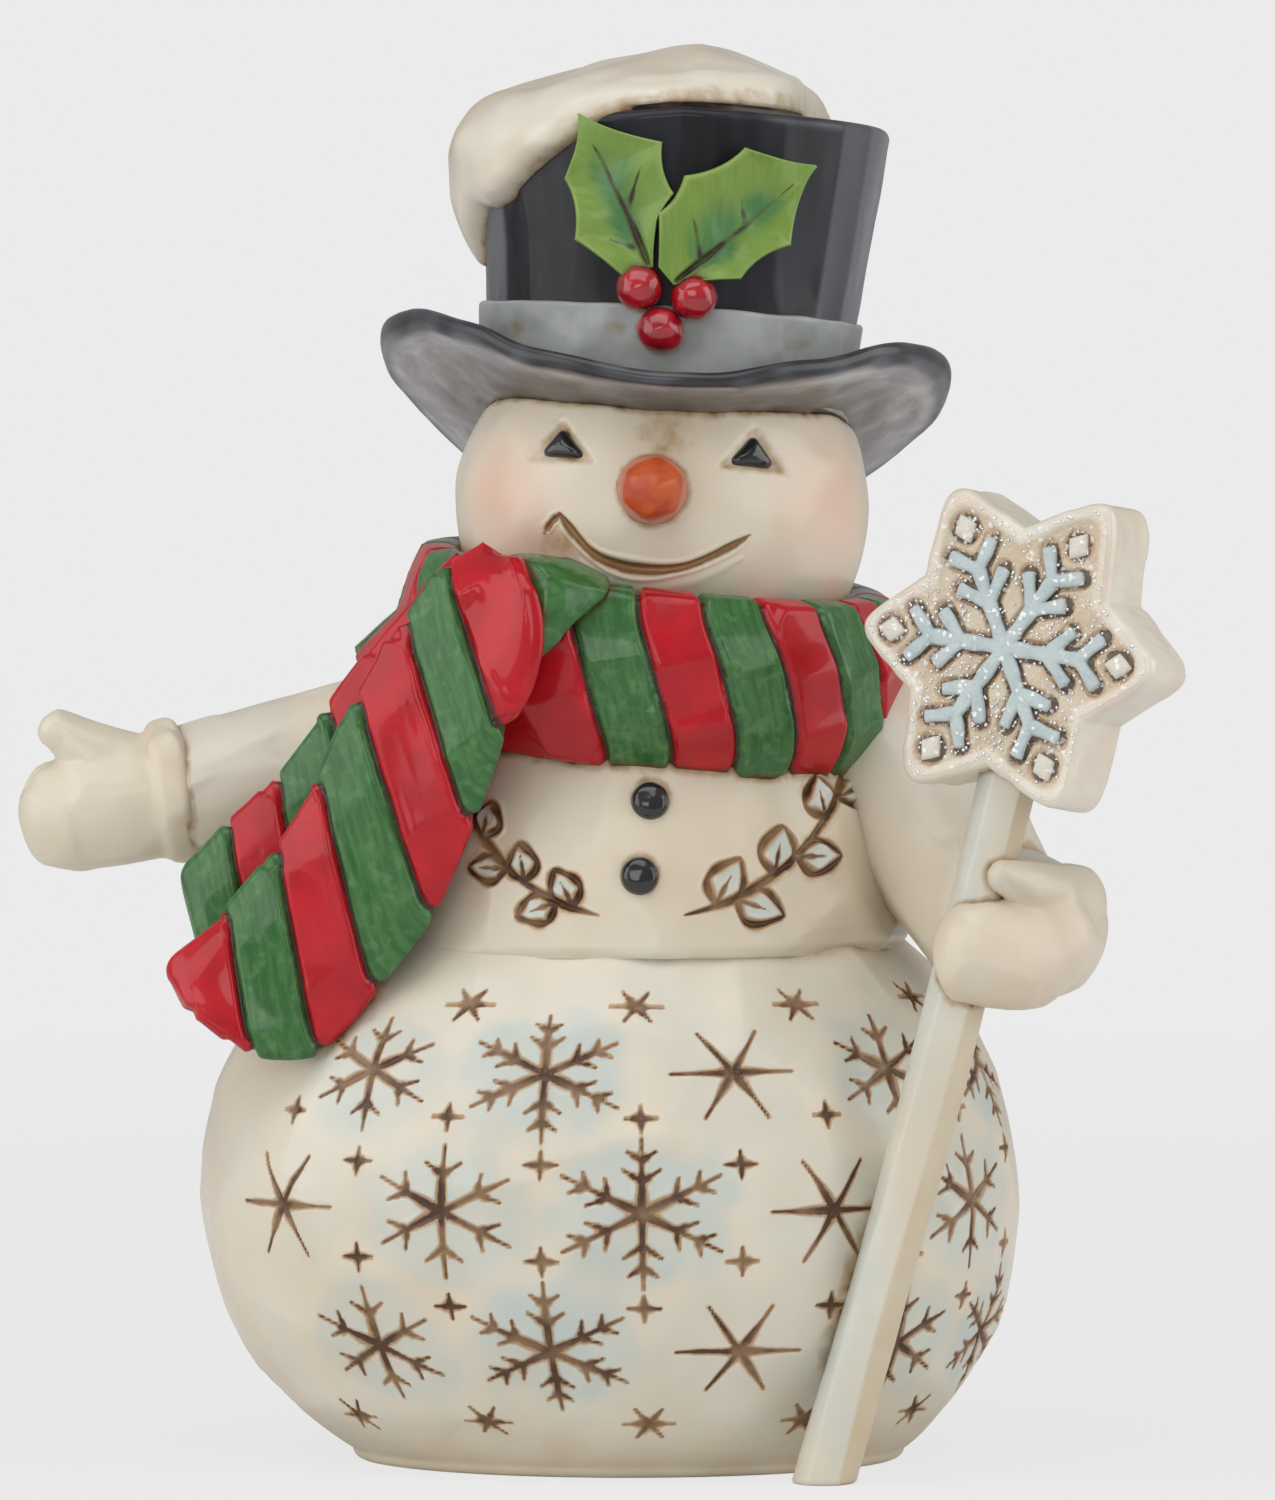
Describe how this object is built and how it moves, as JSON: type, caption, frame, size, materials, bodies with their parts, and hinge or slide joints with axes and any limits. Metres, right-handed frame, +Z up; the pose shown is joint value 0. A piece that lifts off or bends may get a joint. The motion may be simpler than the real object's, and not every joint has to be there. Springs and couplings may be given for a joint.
{
  "type": "snowman figure",
  "caption": "Standing carved and painted wooden snowman with top hat, striped scarf, one open mitten, and a leaning staff topped by a thick star with a raised snowflake.",
  "frame": {"origin": "middle of the flat underside of the belly, on the surface the figure stands on", "axes": "+Z up, the face looks along -Y, the staff is on the +X side and the open mitten on the -X side"},
  "size_m": [0.1018, 0.0642, 0.1242],
  "materials": {
    "ivory_paint": "carved wood under ivory paint with pale blue-grey washes, brown glaze in the cuts and a satin varnish",
    "bare_dowel": "bare turned hardwood, unseen",
    "brim_paint": "black paint, rubbed grey on the underside, satin varnish",
    "crown_paint": "black paint over long knife facets, satin to gloss varnish",
    "band_paint": "pale blue-grey paint with brown glaze",
    "snow_paint": "cream paint with brown glaze along the edges",
    "leaf_paint": "yellow-green paint shaded darker along the middle, brown veins",
    "berry_paint": "deep red gloss paint over small facets",
    "carrot_paint": "orange gloss paint",
    "coal_paint": "black gloss paint",
    "scarf_paint": "red and green slanting stripes, dark lines between them, gloss varnish over the red and brushed green",
    "staff_paint": "ivory and pale grey paint over long facets, brown glaze",
    "star_paint": "cream paint with clear glitter on the rim and brown glaze on the face",
    "flake_paint": "pale blue paint with clear glitter, dark outlines"
  },
  "bodies": {
    "root": {"belly": "ivory_paint", "chest": "ivory_paint", "head": "ivory_paint", "belly_dowel": "bare_dowel", "neck_dowel": "bare_dowel", "hat_dowel": "bare_dowel", "hat_brim": "brim_paint", "hat_crown": "crown_paint", "hat_band": "band_paint", "hat_snow": "snow_paint", "holly_leaf_left": "leaf_paint", "holly_leaf_right": "leaf_paint", "holly_berry_left": "berry_paint", "holly_berry_right": "berry_paint", "holly_berry_lower": "berry_paint", "carrot_nose": "carrot_paint", "eye_left": "coal_paint", "eye_right": "coal_paint", "button_upper": "coal_paint", "button_lower": "coal_paint", "scarf_wrap": "scarf_paint", "scarf_fold": "scarf_paint", "scarf_front_tail": "scarf_paint", "scarf_back_tail": "scarf_paint", "open_arm": "ivory_paint", "open_arm_dowel": "bare_dowel", "open_mitten": "ivory_paint", "open_wrist_dowel": "bare_dowel", "staff_arm": "ivory_paint", "staff_arm_dowel": "bare_dowel", "staff_mitten": "ivory_paint", "staff_wrist_dowel": "bare_dowel", "staff": "staff_paint", "star_topper": "star_paint", "snowflake_relief": "flake_paint", "snowflake_tips": "flake_paint"}
  },
  "joints": []
}
